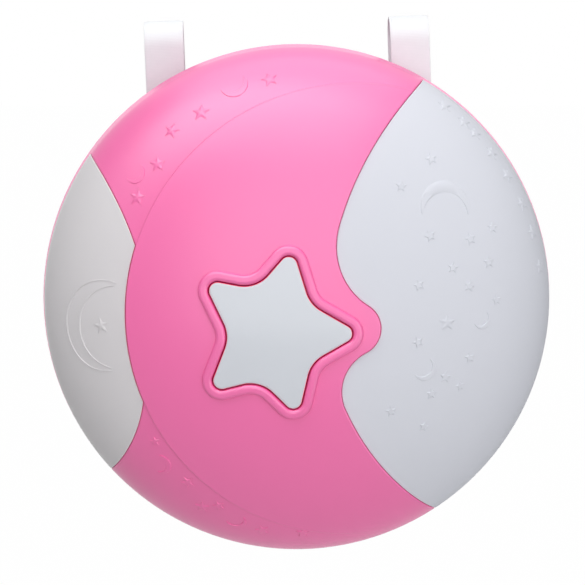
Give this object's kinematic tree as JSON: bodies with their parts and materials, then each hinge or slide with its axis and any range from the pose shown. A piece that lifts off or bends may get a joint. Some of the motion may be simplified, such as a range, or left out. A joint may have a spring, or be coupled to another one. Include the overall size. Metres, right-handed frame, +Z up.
{
  "type": "crib night light",
  "caption": "Round domed crib night light with a star push button, a milky side window, a raised moon and strap loops for hanging it on a rail",
  "frame": {"origin": "centre of the flat back, on the face of the battery door", "axes": "+X to the right as seen from the front, +Y out of the back toward the rail, +Z up; the front faces -Y"},
  "size_m": [0.232, 0.0977, 0.2438],
  "materials": {
    "pink_plastic": "satin moulded pink",
    "lens_plastic": "milky satin",
    "panel_plastic": "opaque white satin",
    "star_plastic": "glossy white",
    "inner_plastic": "plain moulded",
    "steel": "zinc plated",
    "circuit_board": "green solder mask",
    "black_plastic": "black moulded",
    "stem_plastic": "moulded",
    "lamp": "clear cast",
    "cell_wrap": "plain printed-free sleeve",
    "strap_fabric": "satin woven ribbon",
    "fastening_fabric": "hook and loop tape",
    "red_wire": "insulated",
    "black_wire": "insulated",
    "white_wire": "insulated"
  },
  "bodies": {
    "housing": {"rear_housing": "pink_plastic", "front_cover": "pink_plastic", "right_lens": "lens_plastic", "left_panel": "panel_plastic", "button_plate": "inner_plastic", "button_springs": "steel", "plate_screws": "steel", "board_screws": "steel", "light_board_screws": "steel", "housing_screws": "steel", "contact_plates": "steel", "contact_springs": "steel", "strap_pins": "steel", "control_board": "circuit_board", "light_board": "circuit_board", "control_chip": "black_plastic", "board_parts": "black_plastic", "switch_body": "black_plastic", "mode_switch": "black_plastic", "star_leds": "lamp", "lens_leds": "lamp", "battery_1": "cell_wrap", "battery_2": "cell_wrap", "battery_3": "cell_wrap", "strap_left": "strap_fabric", "strap_right": "strap_fabric", "hook_patches": "fastening_fabric", "loop_patches": "fastening_fabric", "battery_lead_red": "red_wire", "battery_lead_black": "black_wire", "lens_lead": "white_wire", "mode_lead": "white_wire"},
    "button": {"star_button": "star_plastic", "switch_stem": "stem_plastic"},
    "door": {"battery_door": "pink_plastic", "door_screws": "steel"},
    "knob": {"mode_knob": "black_plastic"}
  },
  "joints": [
    {"name": "star_press", "type": "slide", "parent": "housing", "child": "button", "axis": [0, 1, 0], "range_m": [0, 0.0025], "stiffness_N_per_m": 600, "springref_m": -0.002, "deforming": ["button_springs"]},
    {"name": "knob_slide", "type": "slide", "parent": "housing", "child": "knob", "axis": [1, 0, 0], "range_m": [0, 0.004]},
    {"name": "door_lift", "type": "slide", "parent": "housing", "child": "door", "axis": [0, 1, 0], "range_m": [0, 0.04]}
  ]
}
